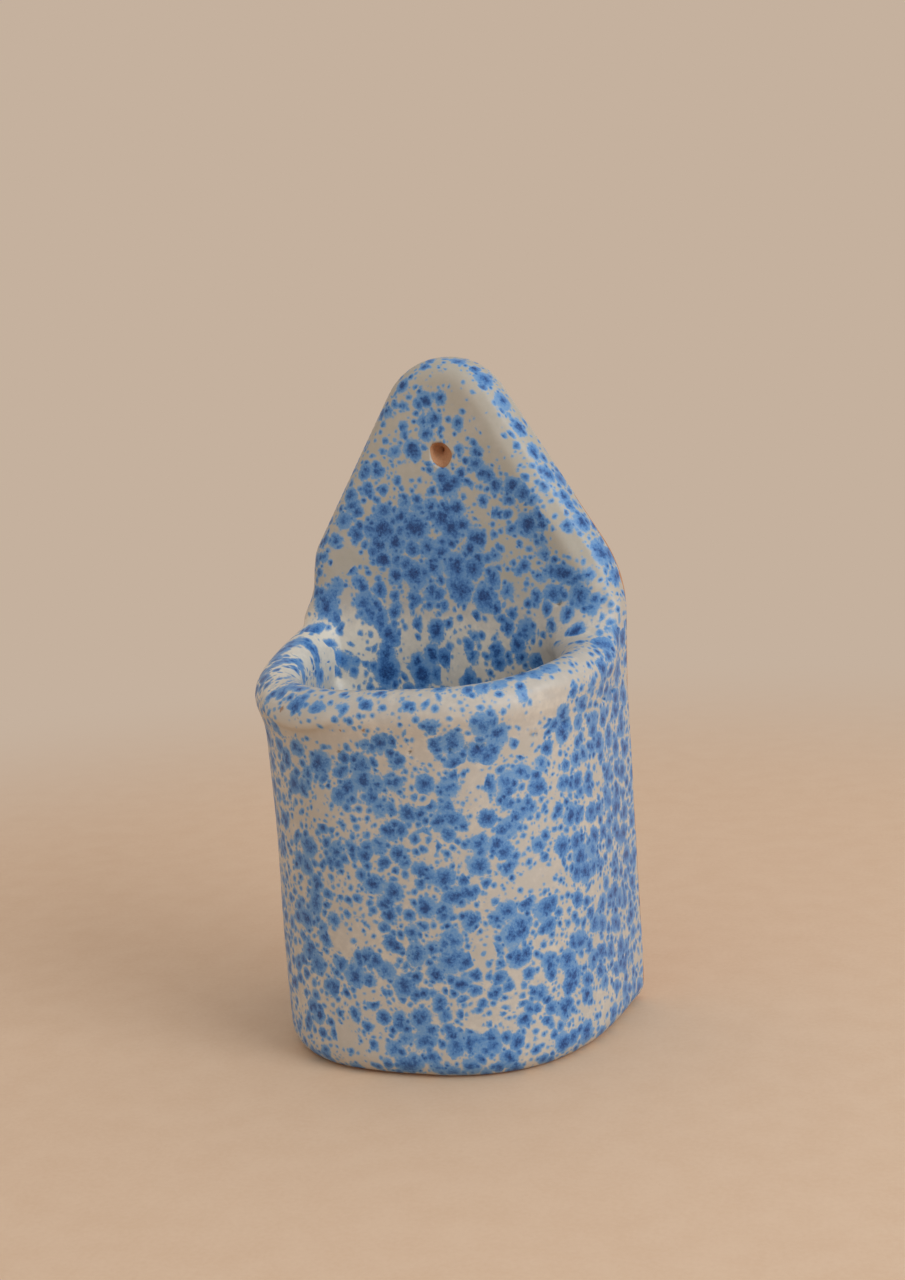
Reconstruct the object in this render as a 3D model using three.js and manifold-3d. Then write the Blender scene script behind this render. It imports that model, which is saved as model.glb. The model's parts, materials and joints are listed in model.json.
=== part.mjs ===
// A small wall pocket of slab-built pottery, in millimetres.
// +Z is up, -Y is the front and +Y is the side that lies on the wall.
// The origin is under the middle of the base.
import * as THREE from "three";
import { mergeVertices } from "three/addons/utils/BufferGeometryUtils.js";
import Module from "manifold-3d";

// Back slab
const slabWidth = 80.8;
const slabHeight = 159;
const slabThickness = 9.8;
const crownRadius = 16;
const shoulderHeight = 106;
const shoulderRadius = 36;
const shoulderFlare = 1.1;
const leftWaistDepth = 2.6;
const leftWaistHeight = 103.5;
const leftWaistReach = 14;
const frontEdgeRadius = 4.5;
const backEdgeRadius = 1.5;
const lutedEdgeRadius = 0.6;

// Hanging hole
const holeDiameter = 6;
const holeHeight = 136.3;
const holeMouth = 0.4;

// Pocket, reaching forward from the slab's front face
const pocketReach = 51.6;
const planPower = 2.65;
const wallThickness = 7;
const floorThickness = 7;
const footRadius = 5;

// Rim coil, rolled outwards. It tilts up towards the slab, climbs the slab at both ends, and
// spreads into a web there, which is broad on the right.
const rimHeight = 87.8;
const rimDiameter = 10;
const rimOverhang = 2;
const rimSkirtHeight = 7;
const rimTiltHeight = 5.2;
const leftClimbHeight = 4;
const rightClimbHeight = 7.5;
const leftClimbReach = 38;
const rightClimbReach = 10;
const leftWebWidth = 1.5;
const rightWebWidth = 9;
const webReach = 22;

// Seams: hollow coils in the inside corners, and the slip between the pieces
const seamRadius = 7;
const floorSeamRadius = 5;
const seamLip = 0.5;
const slipGap = 0.3;

// Fineness of the curved faces
const planSteps = 56;
const sideSteps = 5;
const arcDivisions = 6;
const edgeSteps = 4;
const seamSteps = 5;
const rimSteps = 12;
// An odd number, so that no point of the skirt falls on the straight middle of its S-curve
const skirtSteps = 5;
const holeSteps = 28;

// Sizes that follow from the ones above
const halfWidth = slabWidth / 2;
const rimRadius = rimDiameter / 2;
const rimLip = rimDiameter - wallThickness - rimOverhang;
const floorInset = wallThickness + slipGap;
const floorSeamBottom = floorThickness + slipGap;
const seamBottom = floorSeamBottom + floorSeamRadius + slipGap;

const wasm = await Module();
wasm.setup();

// Joins a stack of closed loops, each with the same number of points, into one closed body.
// The first and last loops are capped, or joined to each other when the body is a ring.
function skinLoops(loops, ring = false) {
  const count = loops[0].length;
  const positions = loops.flat().flatMap((point) => [point.x, point.y, point.z]);
  const triangles = [];
  const strips = ring ? loops.length : loops.length - 1;
  for (let row = 0; row < strips; row++) {
    const here = row * count;
    const next = ((row + 1) % loops.length) * count;
    for (let column = 0; column < count; column++) {
      const beside = (column + 1) % count;
      triangles.push([here + column, here + beside, next + column]);
      triangles.push([next + column, here + beside, next + beside]);
    }
  }
  if (!ring) {
    const last = (loops.length - 1) * count;
    capTriangles(loops[0]).forEach(([a, b, c]) => triangles.push([c, b, a]));
    capTriangles(loops.at(-1)).forEach(([a, b, c]) => triangles.push([last + a, last + b, last + c]));
  }
  const geometry = new THREE.BufferGeometry();
  geometry.setAttribute("position", new THREE.Float32BufferAttribute(positions, 3));
  geometry.setIndex(outwardTriangles(positions, triangles).flat());
  geometry.computeVertexNormals();
  return geometry;
}

// Fills a loop with triangles that turn the same way as the loop does.
function capTriangles(loop) {
  const facing = new THREE.Vector3();
  loop.forEach((point, index) => facing.add(point.clone().cross(loop[(index + 1) % loop.length])));
  const axes = ["x", "y", "z"].sort((a, b) => Math.abs(facing[a]) - Math.abs(facing[b]));
  const flat = loop.map((point) => new THREE.Vector2(point[axes[0]], point[axes[1]]));
  const turn = Math.sign(THREE.ShapeUtils.area(flat));
  return THREE.ShapeUtils.triangulateShape(flat, []).map(([a, b, c]) => {
    const same = Math.sign(THREE.ShapeUtils.area([flat[a], flat[b], flat[c]])) === turn;
    return same ? [a, b, c] : [a, c, b];
  });
}

// Turns every triangle over when the body would be inside out.
function outwardTriangles(positions, triangles) {
  const corner = (index) => new THREE.Vector3().fromArray(positions, index * 3);
  const volume = triangles.reduce(
    (sum, [a, b, c]) => sum + corner(a).dot(corner(b).cross(corner(c))),
    0,
  );
  return volume > 0 ? triangles : triangles.map(([a, b, c]) => [a, c, b]);
}

function solidFrom(geometry) {
  const bare = geometry.clone();
  bare.deleteAttribute("normal");
  const merged = mergeVertices(bare);
  const vertProperties = Float32Array.from(merged.attributes.position.array);
  const triVerts = Uint32Array.from(merged.index.array);
  return new wasm.Manifold(new wasm.Mesh({ numProp: 3, vertProperties, triVerts }));
}

function cutAway(geometry, tool) {
  const mesh = solidFrom(geometry).subtract(solidFrom(tool)).getMesh();
  const cut = new THREE.BufferGeometry();
  cut.setAttribute("position", new THREE.BufferAttribute(mesh.vertProperties, 3));
  cut.setIndex(new THREE.BufferAttribute(mesh.triVerts, 1));
  cut.computeVertexNormals();
  return cut;
}

// Plan of the pocket: half of a squared oval, open to the slab's front face at y = 0.
// It starts and ends a chosen distance in front of the slab.
class PocketPlan extends THREE.Curve {
  constructor(inset, gap) {
    super();
    this.inset = inset;
    this.start = Math.atan2(gap, halfWidth);
  }

  // Point on the outside of the wall, and the direction out of the wall there
  frameAt(share) {
    const angle = this.start + (Math.PI - 2 * this.start) * share;
    const across = Math.cos(angle) / halfWidth;
    const forward = Math.sin(angle) / pocketReach;
    const radius = (Math.abs(across) ** planPower + forward ** planPower) ** (-1 / planPower);
    const point = new THREE.Vector2(radius * Math.cos(angle), -radius * Math.sin(angle));
    const outward = new THREE.Vector2(
      (Math.sign(across) * Math.abs(radius * across) ** (planPower - 1)) / halfWidth,
      -((radius * forward) ** (planPower - 1)) / pocketReach,
    );
    return { point, outward: outward.normalize() };
  }

  getPoint(share) {
    const { point, outward } = this.frameAt(share);
    return point.addScaledVector(outward, -this.inset);
  }
}

// How far the rim has been drawn up the slab: 1 at the slab, easing to 0 along the climb
function drawnAt(distance, side) {
  const reach = side < 0 ? leftClimbReach : rightClimbReach;
  return Math.max(0, 1 - distance / reach) ** 2;
}

function webAt(distance, side) {
  const width = side < 0 ? leftWebWidth : rightWebWidth;
  return width * Math.max(0, 1 - distance / webReach) ** 2;
}

// The rim's seat is one plane that tilts up towards the slab.
function rimSeatAt(distance) {
  const tilt = rimTiltHeight * (1 - distance / pocketReach);
  return rimHeight - rimRadius - rimSkirtHeight + tilt;
}

function wallTopAt(distance) {
  return rimSeatAt(distance) - slipGap;
}

// Carries an upright section round the plan. The section is made for a place some distance in
// front of the slab, on the left (side -1) or the right (side 1). Each of its points is a distance
// out of the wall's outer face, and a height that may depend on how far in front of the slab the
// point itself stands.
function sweepRound(sectionAt) {
  const plan = new PocketPlan(0, slipGap);
  const loops = [];
  for (let step = 0; step <= planSteps; step++) {
    const { point, outward } = plan.frameAt(step / planSteps);
    loops.push(
      sectionAt(-point.y, Math.sign(point.x)).map(([out, heightAt]) => {
        const place = point.clone().addScaledVector(outward, out);
        return new THREE.Vector3(place.x, place.y, heightAt(-place.y));
      }),
    );
  }
  return skinLoops(loops);
}

// Points of an arc from one angle to another, both ends included
function arcPoints(centreX, centreY, radius, from, to, steps) {
  const arc = new THREE.EllipseCurve(centreX, centreY, radius, radius, from, to, to < from);
  return arc.getPoints(steps);
}

// Above the rim the slab's sides flare out to the shoulders, and the left one is drawn in to a waist.
function flareAt(height, side) {
  const above = THREE.MathUtils.smoothstep(height, rimHeight - rimDiameter, shoulderHeight);
  const below = 1 - THREE.MathUtils.smoothstep(height, shoulderHeight, slabHeight - crownRadius);
  return shoulderFlare * above * below - (side < 0 ? waistAt(height) : 0);
}

function waistAt(height) {
  const away = Math.min(1, Math.abs(height - leftWaistHeight) / leftWaistReach);
  return leftWaistDepth * Math.cos((away * Math.PI) / 2) ** 2;
}

// Outline of the back slab, seen from the front: x across and y for height
function slabOutline() {
  const crownCentre = slabHeight - crownRadius;
  const rise = crownCentre - shoulderHeight;
  const edgeAngle = Math.atan2(rise, -halfWidth) - Math.asin(crownRadius / Math.hypot(rise, halfWidth));
  const turn = edgeAngle - Math.PI / 2;
  const shoulderCentre = shoulderHeight - shoulderRadius * Math.tan(turn / 2);
  const shoulderIn = halfWidth - shoulderRadius;
  const footIn = halfWidth - footRadius;
  const outline = new THREE.Path();
  const sideHeights = [];
  for (let step = 1; step < sideSteps; step++) {
    sideHeights.push(THREE.MathUtils.lerp(footRadius, shoulderCentre, step / sideSteps));
  }
  outline.moveTo(halfWidth, footRadius);
  sideHeights.forEach((height) => outline.lineTo(halfWidth, height));
  outline.absarc(shoulderIn, shoulderCentre, shoulderRadius, 0, turn);
  outline.absarc(0, crownCentre, crownRadius, turn, Math.PI - turn);
  outline.absarc(-shoulderIn, shoulderCentre, shoulderRadius, Math.PI - turn, Math.PI);
  sideHeights.reverse().forEach((height) => outline.lineTo(-halfWidth, height));
  outline.absarc(-footIn, footRadius, footRadius, Math.PI, 1.5 * Math.PI);
  outline.absarc(footIn, footRadius, footRadius, -0.5 * Math.PI, 0);
  const points = outline.getPoints(arcDivisions).slice(0, -1);
  return points.map(({ x, y }) => {
    const side = Math.sign(x);
    return new THREE.Vector2(x + side * flareAt(y, side), y);
  });
}

// The front edge is round where it shows, and square where the wall is luted on.
function frontEdgeAt(height) {
  const rimEnd = rimHeight + rimTiltHeight + Math.max(leftClimbHeight, rightClimbHeight);
  const shown = THREE.MathUtils.smoothstep(height, rimEnd - rimRadius, rimEnd + rimRadius);
  return THREE.MathUtils.lerp(lutedEdgeRadius, frontEdgeRadius, shown);
}

function insetOutline(outline, insetAt, depthAt) {
  return outline.map((point, index) => {
    const before = outline.at(index - 1);
    const after = outline[(index + 1) % outline.length];
    const along = after.clone().sub(point).normalize().add(point.clone().sub(before).normalize());
    const inward = new THREE.Vector2(-along.y, along.x).normalize();
    const place = point.clone().addScaledVector(inward, insetAt(point.y));
    return new THREE.Vector3(place.x, depthAt(point.y), place.y);
  });
}

function slabGeometry() {
  const outline = slabOutline();
  const loops = [];
  for (let step = 0; step <= edgeSteps; step++) {
    const angle = ((1 - step / edgeSteps) * Math.PI) / 2;
    loops.push(
      insetOutline(
        outline,
        (height) => frontEdgeAt(height) * (1 - Math.cos(angle)),
        (height) => frontEdgeAt(height) * (1 - Math.sin(angle)),
      ),
    );
  }
  for (let step = 0; step <= edgeSteps; step++) {
    const angle = ((step / edgeSteps) * Math.PI) / 2;
    loops.push(
      insetOutline(
        outline,
        () => backEdgeRadius * (1 - Math.cos(angle)),
        () => slabThickness - backEdgeRadius * (1 - Math.sin(angle)),
      ),
    );
  }
  return cutAway(skinLoops(loops), holeTool());
}

// Punched hole with a softened mouth at both faces of the slab
function holeTool() {
  const beyond = 1;
  const throat = holeDiameter / 2;
  const mouth = throat + holeMouth + beyond;
  const rings = [
    [-beyond, mouth],
    [holeMouth, throat],
    [slabThickness - holeMouth, throat],
    [slabThickness + beyond, mouth],
  ];
  return skinLoops(
    rings.map(([depth, radius]) =>
      arcPoints(0, holeHeight, radius, 0, 2 * Math.PI, holeSteps)
        .slice(0, -1)
        .map((point) => new THREE.Vector3(point.x, depth, point.y)),
    ),
  );
}

function wallGeometry() {
  const foot = arcPoints(-footRadius, footRadius, footRadius, -Math.PI / 2, 0, edgeSteps);
  return sweepRound(() => [
    [-wallThickness, () => 0],
    ...foot.map((point) => [point.x, () => point.y]),
    [0, wallTopAt],
    [-wallThickness, wallTopAt],
  ]);
}

// Round coil on the wall's top edge, smoothed down both faces of the wall in two skirts.
// Near the slab it comes flush with the slab's side and spreads over the inside corner.
function rimGeometry() {
  return sweepRound((distance, side) => {
    const drawn = drawnAt(distance, side);
    const climbHeight = side < 0 ? leftClimbHeight : rightClimbHeight;
    const skirtHeight = rimSkirtHeight + climbHeight * drawn;
    const outer = rimOverhang * (1 - drawn);
    const inner = -wallThickness - rimLip - webAt(distance, side);
    const crown = new THREE.EllipseCurve(
      (outer + inner) / 2, skirtHeight, (outer - inner) / 2, rimRadius, 0, Math.PI,
    );
    const skirt = [];
    for (let step = 0; step < skirtSteps; step++) {
      const share = step / skirtSteps;
      skirt.push([(1 - Math.cos(share * Math.PI)) / 2, skirtHeight * share]);
    }
    const section = [
      ...skirt.map(([swell, height]) => [outer * swell, height]),
      ...crown.getPoints(rimSteps).map((point) => [point.x, point.y]),
      ...skirt
        .reverse()
        .map(([swell, height]) => [THREE.MathUtils.lerp(-wallThickness, inner, swell), height]),
    ];
    return section.map(([out, height]) => [out, (place) => rimSeatAt(place) + height]);
  });
}

// D-shaped loop inside the pocket, at one inset from the wall and the slab
function insideLoop(inset, height) {
  const plan = new PocketPlan(floorInset + inset, slipGap + inset);
  return plan.getPoints(planSteps).map((point) => new THREE.Vector3(point.x, point.y, height));
}

function floorGeometry() {
  return skinLoops([insideLoop(0, 0), insideLoop(0, floorThickness)]);
}

// Section of a hollow coil in a corner at the origin, filling towards +x and +y
function hollowSection(radius) {
  const hollow = arcPoints(radius, radius, radius - seamLip, 1.5 * Math.PI, Math.PI, seamSteps);
  return [new THREE.Vector2(0, 0), new THREE.Vector2(radius, 0), ...hollow, new THREE.Vector2(0, radius)];
}

function floorSeamGeometry() {
  const section = hollowSection(floorSeamRadius);
  return skinLoops(section.map((point) => insideLoop(point.x, floorSeamBottom + point.y)), true);
}

// Upright coil in the corner of wall and slab. Its back keeps clear of the wall's curve, and its
// top runs along under the rim's seat.
function seamGeometry(side) {
  const wallShare = Math.atan2(seamRadius + slipGap, halfWidth) / Math.PI;
  const wallFace = new PocketPlan(floorInset, 0).getPoint(wallShare).x;
  const section = hollowSection(seamRadius).map(
    (point) => new THREE.Vector2(side * (wallFace - point.x), -slipGap - point.y),
  );
  const bottom = section.map((point) => new THREE.Vector3(point.x, point.y, seamBottom));
  const top = section.map((point) => new THREE.Vector3(point.x, point.y, wallTopAt(-point.y)));
  return skinLoops([bottom, top]);
}

// Finishes: cream glaze with blue, a paler one where it runs thin on the rim, and bare clay
const speckledGlaze = { color: "#a9a9ab", roughness: 0.42, metalness: 0 };
const rimGlaze = { color: "#c3c0b8", roughness: 0.42, metalness: 0 };
const bareClay = { color: "#b0784f", roughness: 0.85, metalness: 0 };

function clayPiece(name, geometry, finish) {
  const mesh = new THREE.Mesh(geometry, new THREE.MeshStandardMaterial(finish));
  mesh.name = name;
  return mesh;
}

// The pieces are made against the slab's front face; the group centres the pot on the origin.
const wallPocket = new THREE.Group();
const pot = new THREE.Group();
pot.position.y = (pocketReach + rimOverhang - slabThickness) / 2;
pot.add(
  clayPiece("back_slab", slabGeometry(), speckledGlaze),
  clayPiece("pocket_wall", wallGeometry(), speckledGlaze),
  clayPiece("floor_slab", floorGeometry(), bareClay),
  clayPiece("rim_coil", rimGeometry(), rimGlaze),
  clayPiece("left_seam_coil", seamGeometry(-1), speckledGlaze),
  clayPiece("right_seam_coil", seamGeometry(1), speckledGlaze),
  clayPiece("floor_seam_coil", floorSeamGeometry(), speckledGlaze),
);
wallPocket.add(pot);

export default wallPocket;
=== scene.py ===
# %% [markdown]
# # A speckled wall pocket
# This lesson dresses a small wall pocket of slab-built pottery. The clay pieces come in as a
# fixed frame: a back slab, a bent wall, a floor, a rim coil and the coils in the inside corners.
# On the real pot the joints are wiped smooth and the whole is dipped in a cream glaze and
# spattered with cobalt blue. So the eye sees one soft coat of glaze, and bare clay only on the
# back, under the base and in the hanging hole.

# %% Load the clay pieces
import json
import math

import bmesh
import bpy
import numpy as np
from mathutils import Matrix, Vector, noise
from mathutils.bvhtree import BVHTree


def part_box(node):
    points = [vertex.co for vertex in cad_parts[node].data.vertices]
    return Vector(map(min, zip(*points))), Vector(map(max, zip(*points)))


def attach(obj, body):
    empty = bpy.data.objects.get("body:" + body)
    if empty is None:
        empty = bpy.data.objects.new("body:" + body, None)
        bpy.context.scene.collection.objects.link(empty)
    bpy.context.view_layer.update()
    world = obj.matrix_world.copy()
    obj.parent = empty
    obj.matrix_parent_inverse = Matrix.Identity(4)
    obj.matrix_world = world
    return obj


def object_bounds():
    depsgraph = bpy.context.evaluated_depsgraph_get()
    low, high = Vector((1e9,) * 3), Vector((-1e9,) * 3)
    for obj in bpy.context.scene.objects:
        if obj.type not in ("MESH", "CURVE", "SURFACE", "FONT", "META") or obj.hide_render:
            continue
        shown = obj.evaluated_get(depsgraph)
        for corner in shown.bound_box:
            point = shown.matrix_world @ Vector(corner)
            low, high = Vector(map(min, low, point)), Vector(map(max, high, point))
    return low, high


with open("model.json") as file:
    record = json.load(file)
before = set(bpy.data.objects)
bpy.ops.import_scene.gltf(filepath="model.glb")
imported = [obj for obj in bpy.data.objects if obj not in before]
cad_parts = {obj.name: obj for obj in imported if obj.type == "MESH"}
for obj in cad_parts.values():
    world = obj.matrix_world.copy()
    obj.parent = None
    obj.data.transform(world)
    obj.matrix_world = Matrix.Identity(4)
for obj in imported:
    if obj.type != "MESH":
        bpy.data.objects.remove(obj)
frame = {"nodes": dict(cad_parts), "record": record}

MM = 0.001
NOISE_SEED = 11  # without a set number the noise vectors start from the clock
noise.seed_set(NOISE_SEED)
scene = bpy.context.scene
clay_low, clay_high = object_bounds()
slab_low, slab_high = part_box("back_slab")
slab_front, slab_back = slab_low[1], slab_high[1]
print("clay pieces:", ", ".join(sorted(frame["nodes"])))
print("clay box in mm:", [round(v / MM, 1) for v in clay_high - clay_low])

# %% [markdown]
# ## The camera
# The photograph was taken from a little above the rim and from the pot's right, with the pot
# leaning a few degrees. The lean is put into the camera's roll, so that the pot itself stands
# straight in its own frame.

# %% Set up the camera
PHOTO_WIDTH, PHOTO_HEIGHT = 905, 1280
FOCAL_PIXELS = 1894.0
SENSOR_WIDTH = 36.0
CAMERA_PLACE = Vector((167.8, -399.94, 164.2)) * MM
HEADING, PITCH, ROLL = (math.radians(angle) for angle in (-21.75, 9.12, -4.1))


def camera_axes():
    """The camera's right, up and forward directions."""
    forward = Vector((math.sin(HEADING) * math.cos(PITCH), math.cos(HEADING) * math.cos(PITCH),
                      -math.sin(PITCH)))
    level_right = forward.cross(Vector((0, 0, 1))).normalized()
    level_up = level_right.cross(forward)
    right = level_right * math.cos(ROLL) + level_up * math.sin(ROLL)
    up = level_up * math.cos(ROLL) - level_right * math.sin(ROLL)
    return right, up, forward


camera_data = bpy.data.cameras.new("photo_camera")
camera_data.sensor_width = SENSOR_WIDTH
camera_data.lens = FOCAL_PIXELS * SENSOR_WIDTH / max(PHOTO_WIDTH, PHOTO_HEIGHT)
camera_data.clip_start = 0.01
camera = bpy.data.objects.new("photo_camera", camera_data)
scene.collection.objects.link(camera)
right, up, forward = camera_axes()
rows = [(right[i], up[i], -forward[i], CAMERA_PLACE[i]) for i in range(3)]
camera.matrix_world = Matrix(rows + [(0, 0, 0, 1)])
scene.camera = camera
print("camera lens in mm:", round(camera_data.lens, 2))

# %% [markdown]
# ## One skin over the clay
# The glaze follows the clay but not its joints: slip, a wet sponge and the melting glaze fill
# every hollow and leave the ridges alone. One could model that skin by hand, but it is surer to
# grow it from the clay itself. The pieces are copied, swelled by the coat's thickness so that
# they run into each other, and remeshed into a single skin. The hanging hole is stopped up for
# now and cut again later, so that its edge comes out clean.

# %% Copy and swell the clay
COAT = 0.45 * MM
HOLE_RADIUS = 3.0 * MM
WELD = 0.001 * MM
hanging_hole = next(m for m in frame["record"]["mounts"] if m["name"] == "hanging_hole")
hole_x, _, hole_z = hanging_hole["pos_m"]


def clay_copy(swell):
    """All the clay pieces in one bmesh, each pushed out along its own normals."""
    joined = bmesh.new()
    for node in frame["nodes"].values():
        joined.from_mesh(node.data)
    bmesh.ops.remove_doubles(joined, verts=joined.verts, dist=WELD)
    joined.normal_update()
    for vert in joined.verts:
        vert.co += vert.normal * swell
    return joined


def stop_hole(joined):
    """A stopper in the hanging hole, flush with the swelled faces of the slab."""
    middle = Vector((hole_x, (slab_front + slab_back) / 2, hole_z))
    turned = Matrix.Translation(middle) @ Matrix.Rotation(math.pi / 2, 4, "X")
    radius = HOLE_RADIUS + COAT
    bmesh.ops.create_cone(joined, cap_ends=True, segments=32, radius1=radius, radius2=radius,
                          depth=slab_back - slab_front + 2 * COAT, matrix=turned)


bare_clay_shape = BVHTree.FromBMesh(clay_copy(0.0))
swelled = clay_copy(COAT)
stop_hole(swelled)
swelled_mesh = bpy.data.meshes.new("swelled_clay")
swelled.to_mesh(swelled_mesh)
swelled.free()
print("swelled clay:", len(swelled_mesh.vertices), "vertices")

# %% Remesh it into one skin
VOXEL = 0.85 * MM


def remeshed(mesh, voxel):
    """The skin of a mesh as even quads."""
    holder = bpy.data.objects.new("remesh_holder", mesh)
    scene.collection.objects.link(holder)
    remesh = holder.modifiers.new("skin", "REMESH")
    remesh.mode = "VOXEL"
    remesh.voxel_size = voxel
    graph = bpy.context.evaluated_depsgraph_get()
    skin_mesh = bpy.data.meshes.new_from_object(holder.evaluated_get(graph))
    bpy.data.objects.remove(holder)
    return skin_mesh


def keep_largest(mesh):
    """Drop the small closed bubbles that the slip gaps leave inside."""
    work = bmesh.new()
    work.from_mesh(mesh)
    unseen = set(work.verts)
    islands = []
    while unseen:
        island = [unseen.pop()]
        for vert in island:
            found = {edge.other_vert(vert) for edge in vert.link_edges} & unseen
            unseen -= found
            island.extend(found)
        islands.append(island)
    islands.sort(key=len)
    for island in islands[:-1]:
        bmesh.ops.delete(work, geom=island, context="VERTS")
    work.to_mesh(mesh)
    work.free()
    return len(islands)


skin = remeshed(swelled_mesh, VOXEL)
print("closed skins found:", keep_largest(skin), "kept:", len(skin.vertices), "vertices")

# %% [markdown]
# ## Wiping the joints smooth
# A thumb and a sponge fill the inside corners and leave the outside corners as they were. The
# skin is relaxed in the same way: each point moves towards the middle of its neighbours, but
# only when that is outwards. On the front left the rim was rolled over and left as a fold, so
# that place gets less of it. The corner at the rim's right end was filled with a broad web, so
# that place gets more.

# %% Read and write points
def neighbours_of(mesh):
    """Each point's neighbours in one long list, with where every point's own run starts."""
    edges = np.empty(len(mesh.edges) * 2, dtype=np.int64)
    mesh.edges.foreach_get("vertices", edges)
    edges = edges.reshape(-1, 2)
    here = np.concatenate((edges[:, 0], edges[:, 1]))
    there = np.concatenate((edges[:, 1], edges[:, 0]))
    degree = np.bincount(here, minlength=len(mesh.vertices))
    starts = np.concatenate(([0], np.cumsum(degree)[:-1]))
    return there[np.argsort(here, kind="stable")], starts, degree


def points_of(mesh):
    """The places of a mesh's points, one row each."""
    points = np.empty(len(mesh.vertices) * 3)
    mesh.vertices.foreach_get("co", points)
    return points.reshape(-1, 3)


def normals_of(mesh):
    """The normals of a mesh's points, one row each."""
    normals = np.empty(len(mesh.vertices) * 3)
    mesh.vertex_normals.foreach_get("vector", normals)
    return normals.reshape(-1, 3)


def set_points(mesh, points):
    """Move a mesh's points to these places."""
    mesh.vertices.foreach_set("co", points.ravel())
    mesh.update()


def pull_to_middle(values, neighbours):
    """For every point, the way from its own value to the middle of its neighbours' values."""
    there, starts, degree = neighbours
    total = np.add.reduceat(values[there], starts, axis=0)
    return total / degree[:, None] - values


def ease(value, start, stop):
    """0 before start and 1 after stop, with a soft change between; start may be the larger."""
    share = np.clip((value - start) / (stop - start), 0.0, 1.0)
    return share * share * (3.0 - 2.0 * share)


print("points in the skin:", len(points_of(skin)))

# %% Relax the skin
PULL_IN, PUSH_BACK = 0.5, 0.52
FILL_RATE = 0.6
NEW_NORMALS_EVERY = 8
RIGHT_WEB, RIGHT_WEB_SPREAD = (27, 16, 93), 7
skin_neighbours = neighbours_of(skin)


def even_out(mesh, rounds):
    """Take out the steps of the remesh without shrinking the form."""
    points = points_of(mesh)
    for _ in range(rounds):
        points += PULL_IN * pull_to_middle(points, skin_neighbours)
        points -= PUSH_BACK * pull_to_middle(points, skin_neighbours)
    set_points(mesh, points)


def fill_hollows(mesh, rounds, strength):
    """Move points towards the middle of their neighbours where that is outwards."""
    points = points_of(mesh)
    for step in range(rounds):
        if step % NEW_NORMALS_EVERY == 0:
            set_points(mesh, points)
            normals = normals_of(mesh)
        pull = pull_to_middle(points, skin_neighbours)
        hollow = np.maximum((pull * normals).sum(axis=1), 0.0) * strength
        points += FILL_RATE * hollow[:, None] * normals
    set_points(mesh, points)


def rolled_fold(points):
    """1 where the rim was left as a fold over the wall, at the front and on the left."""
    x, y, z = (points / MM).T
    return ease(x, 8, -20) * ease(y, 12, -8) * ease(z, 50, 72)


def near_place(points, middle, spread):
    """1 at a place given in mm, fading out over the spread round it."""
    away = points / MM - np.array(middle)
    return np.exp(-(away ** 2).sum(axis=1) / (2 * spread ** 2))


even_out(skin, rounds=12)
fill_hollows(skin, rounds=80, strength=1.0)
fill_hollows(skin, rounds=240, strength=1.0 - rolled_fold(points_of(skin)))
fill_hollows(skin, rounds=400, strength=near_place(points_of(skin), RIGHT_WEB, RIGHT_WEB_SPREAD))
even_out(skin, rounds=12)
print("skin relaxed")

# %% [markdown]
# ## Two flat maps
# The pot is two bent sheets. To say where a fingermark or a drop of colour sits, each sheet gets
# a flat map in millimetres: the slab is unrolled over its edges, and the wall is unrolled round
# the pocket, up over the rim and down the inside.

# %% Unroll the slab
HALF_WIDTH = min(slab_high[0], -slab_low[0]) / MM
SLAB_FRONT = slab_front / MM
FOLDED_OUT = 0.85  # a step over an edge counts a little less on the map
RUN_SHARE, RUN_TOP = 0.2, 105


def run_down(across, upward):
    """How far up the map a point behind the rim moves, so that drops there come out as runs."""
    behind_rim = ease(upward, 112, 98) * ease(np.abs(across), 34, 28)
    return RUN_SHARE * behind_rim * (RUN_TOP - upward)


def unrolled_slab(points, normals):
    """Across and up on the slab's face; the edges are folded out along the outline."""
    x, y, z = points.T
    out = normals[:, [0, 2]]
    length = np.maximum(np.linalg.norm(out, axis=1), 0.3)
    folded = FOLDED_OUT * np.maximum(y - SLAB_FRONT, 0.0)
    across = x + folded * out[:, 0] / length
    upward = z + folded * out[:, 1] / length + run_down(x, z)
    return np.stack((across, upward, np.zeros(len(points))), axis=1)


slab_map = unrolled_slab(points_of(skin) / MM, normals_of(skin))
print("slab map in mm:", slab_map.min(axis=0).round(1)[:2], "to", slab_map.max(axis=0).round(1)[:2])

# %% Unroll the wall
REACH = SLAB_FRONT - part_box("pocket_wall")[0][1] / MM
SQUARENESS = 2.65
RIM_MIDDLE, RIM_TILT, RIM_RADIUS, RIM_INSET = 82.8, 5.2, 5.0, 3.0
INNER_FACE = 8
PLAN_STEPS = 721


def plan_distance(turn):
    """From the middle of the slab's face to the wall's outer face, in a direction round the plan."""
    across, ahead = np.abs(np.cos(turn)) / HALF_WIDTH, np.sin(turn) / REACH
    return (across ** SQUARENESS + ahead ** SQUARENESS) ** (-1 / SQUARENESS)


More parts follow.
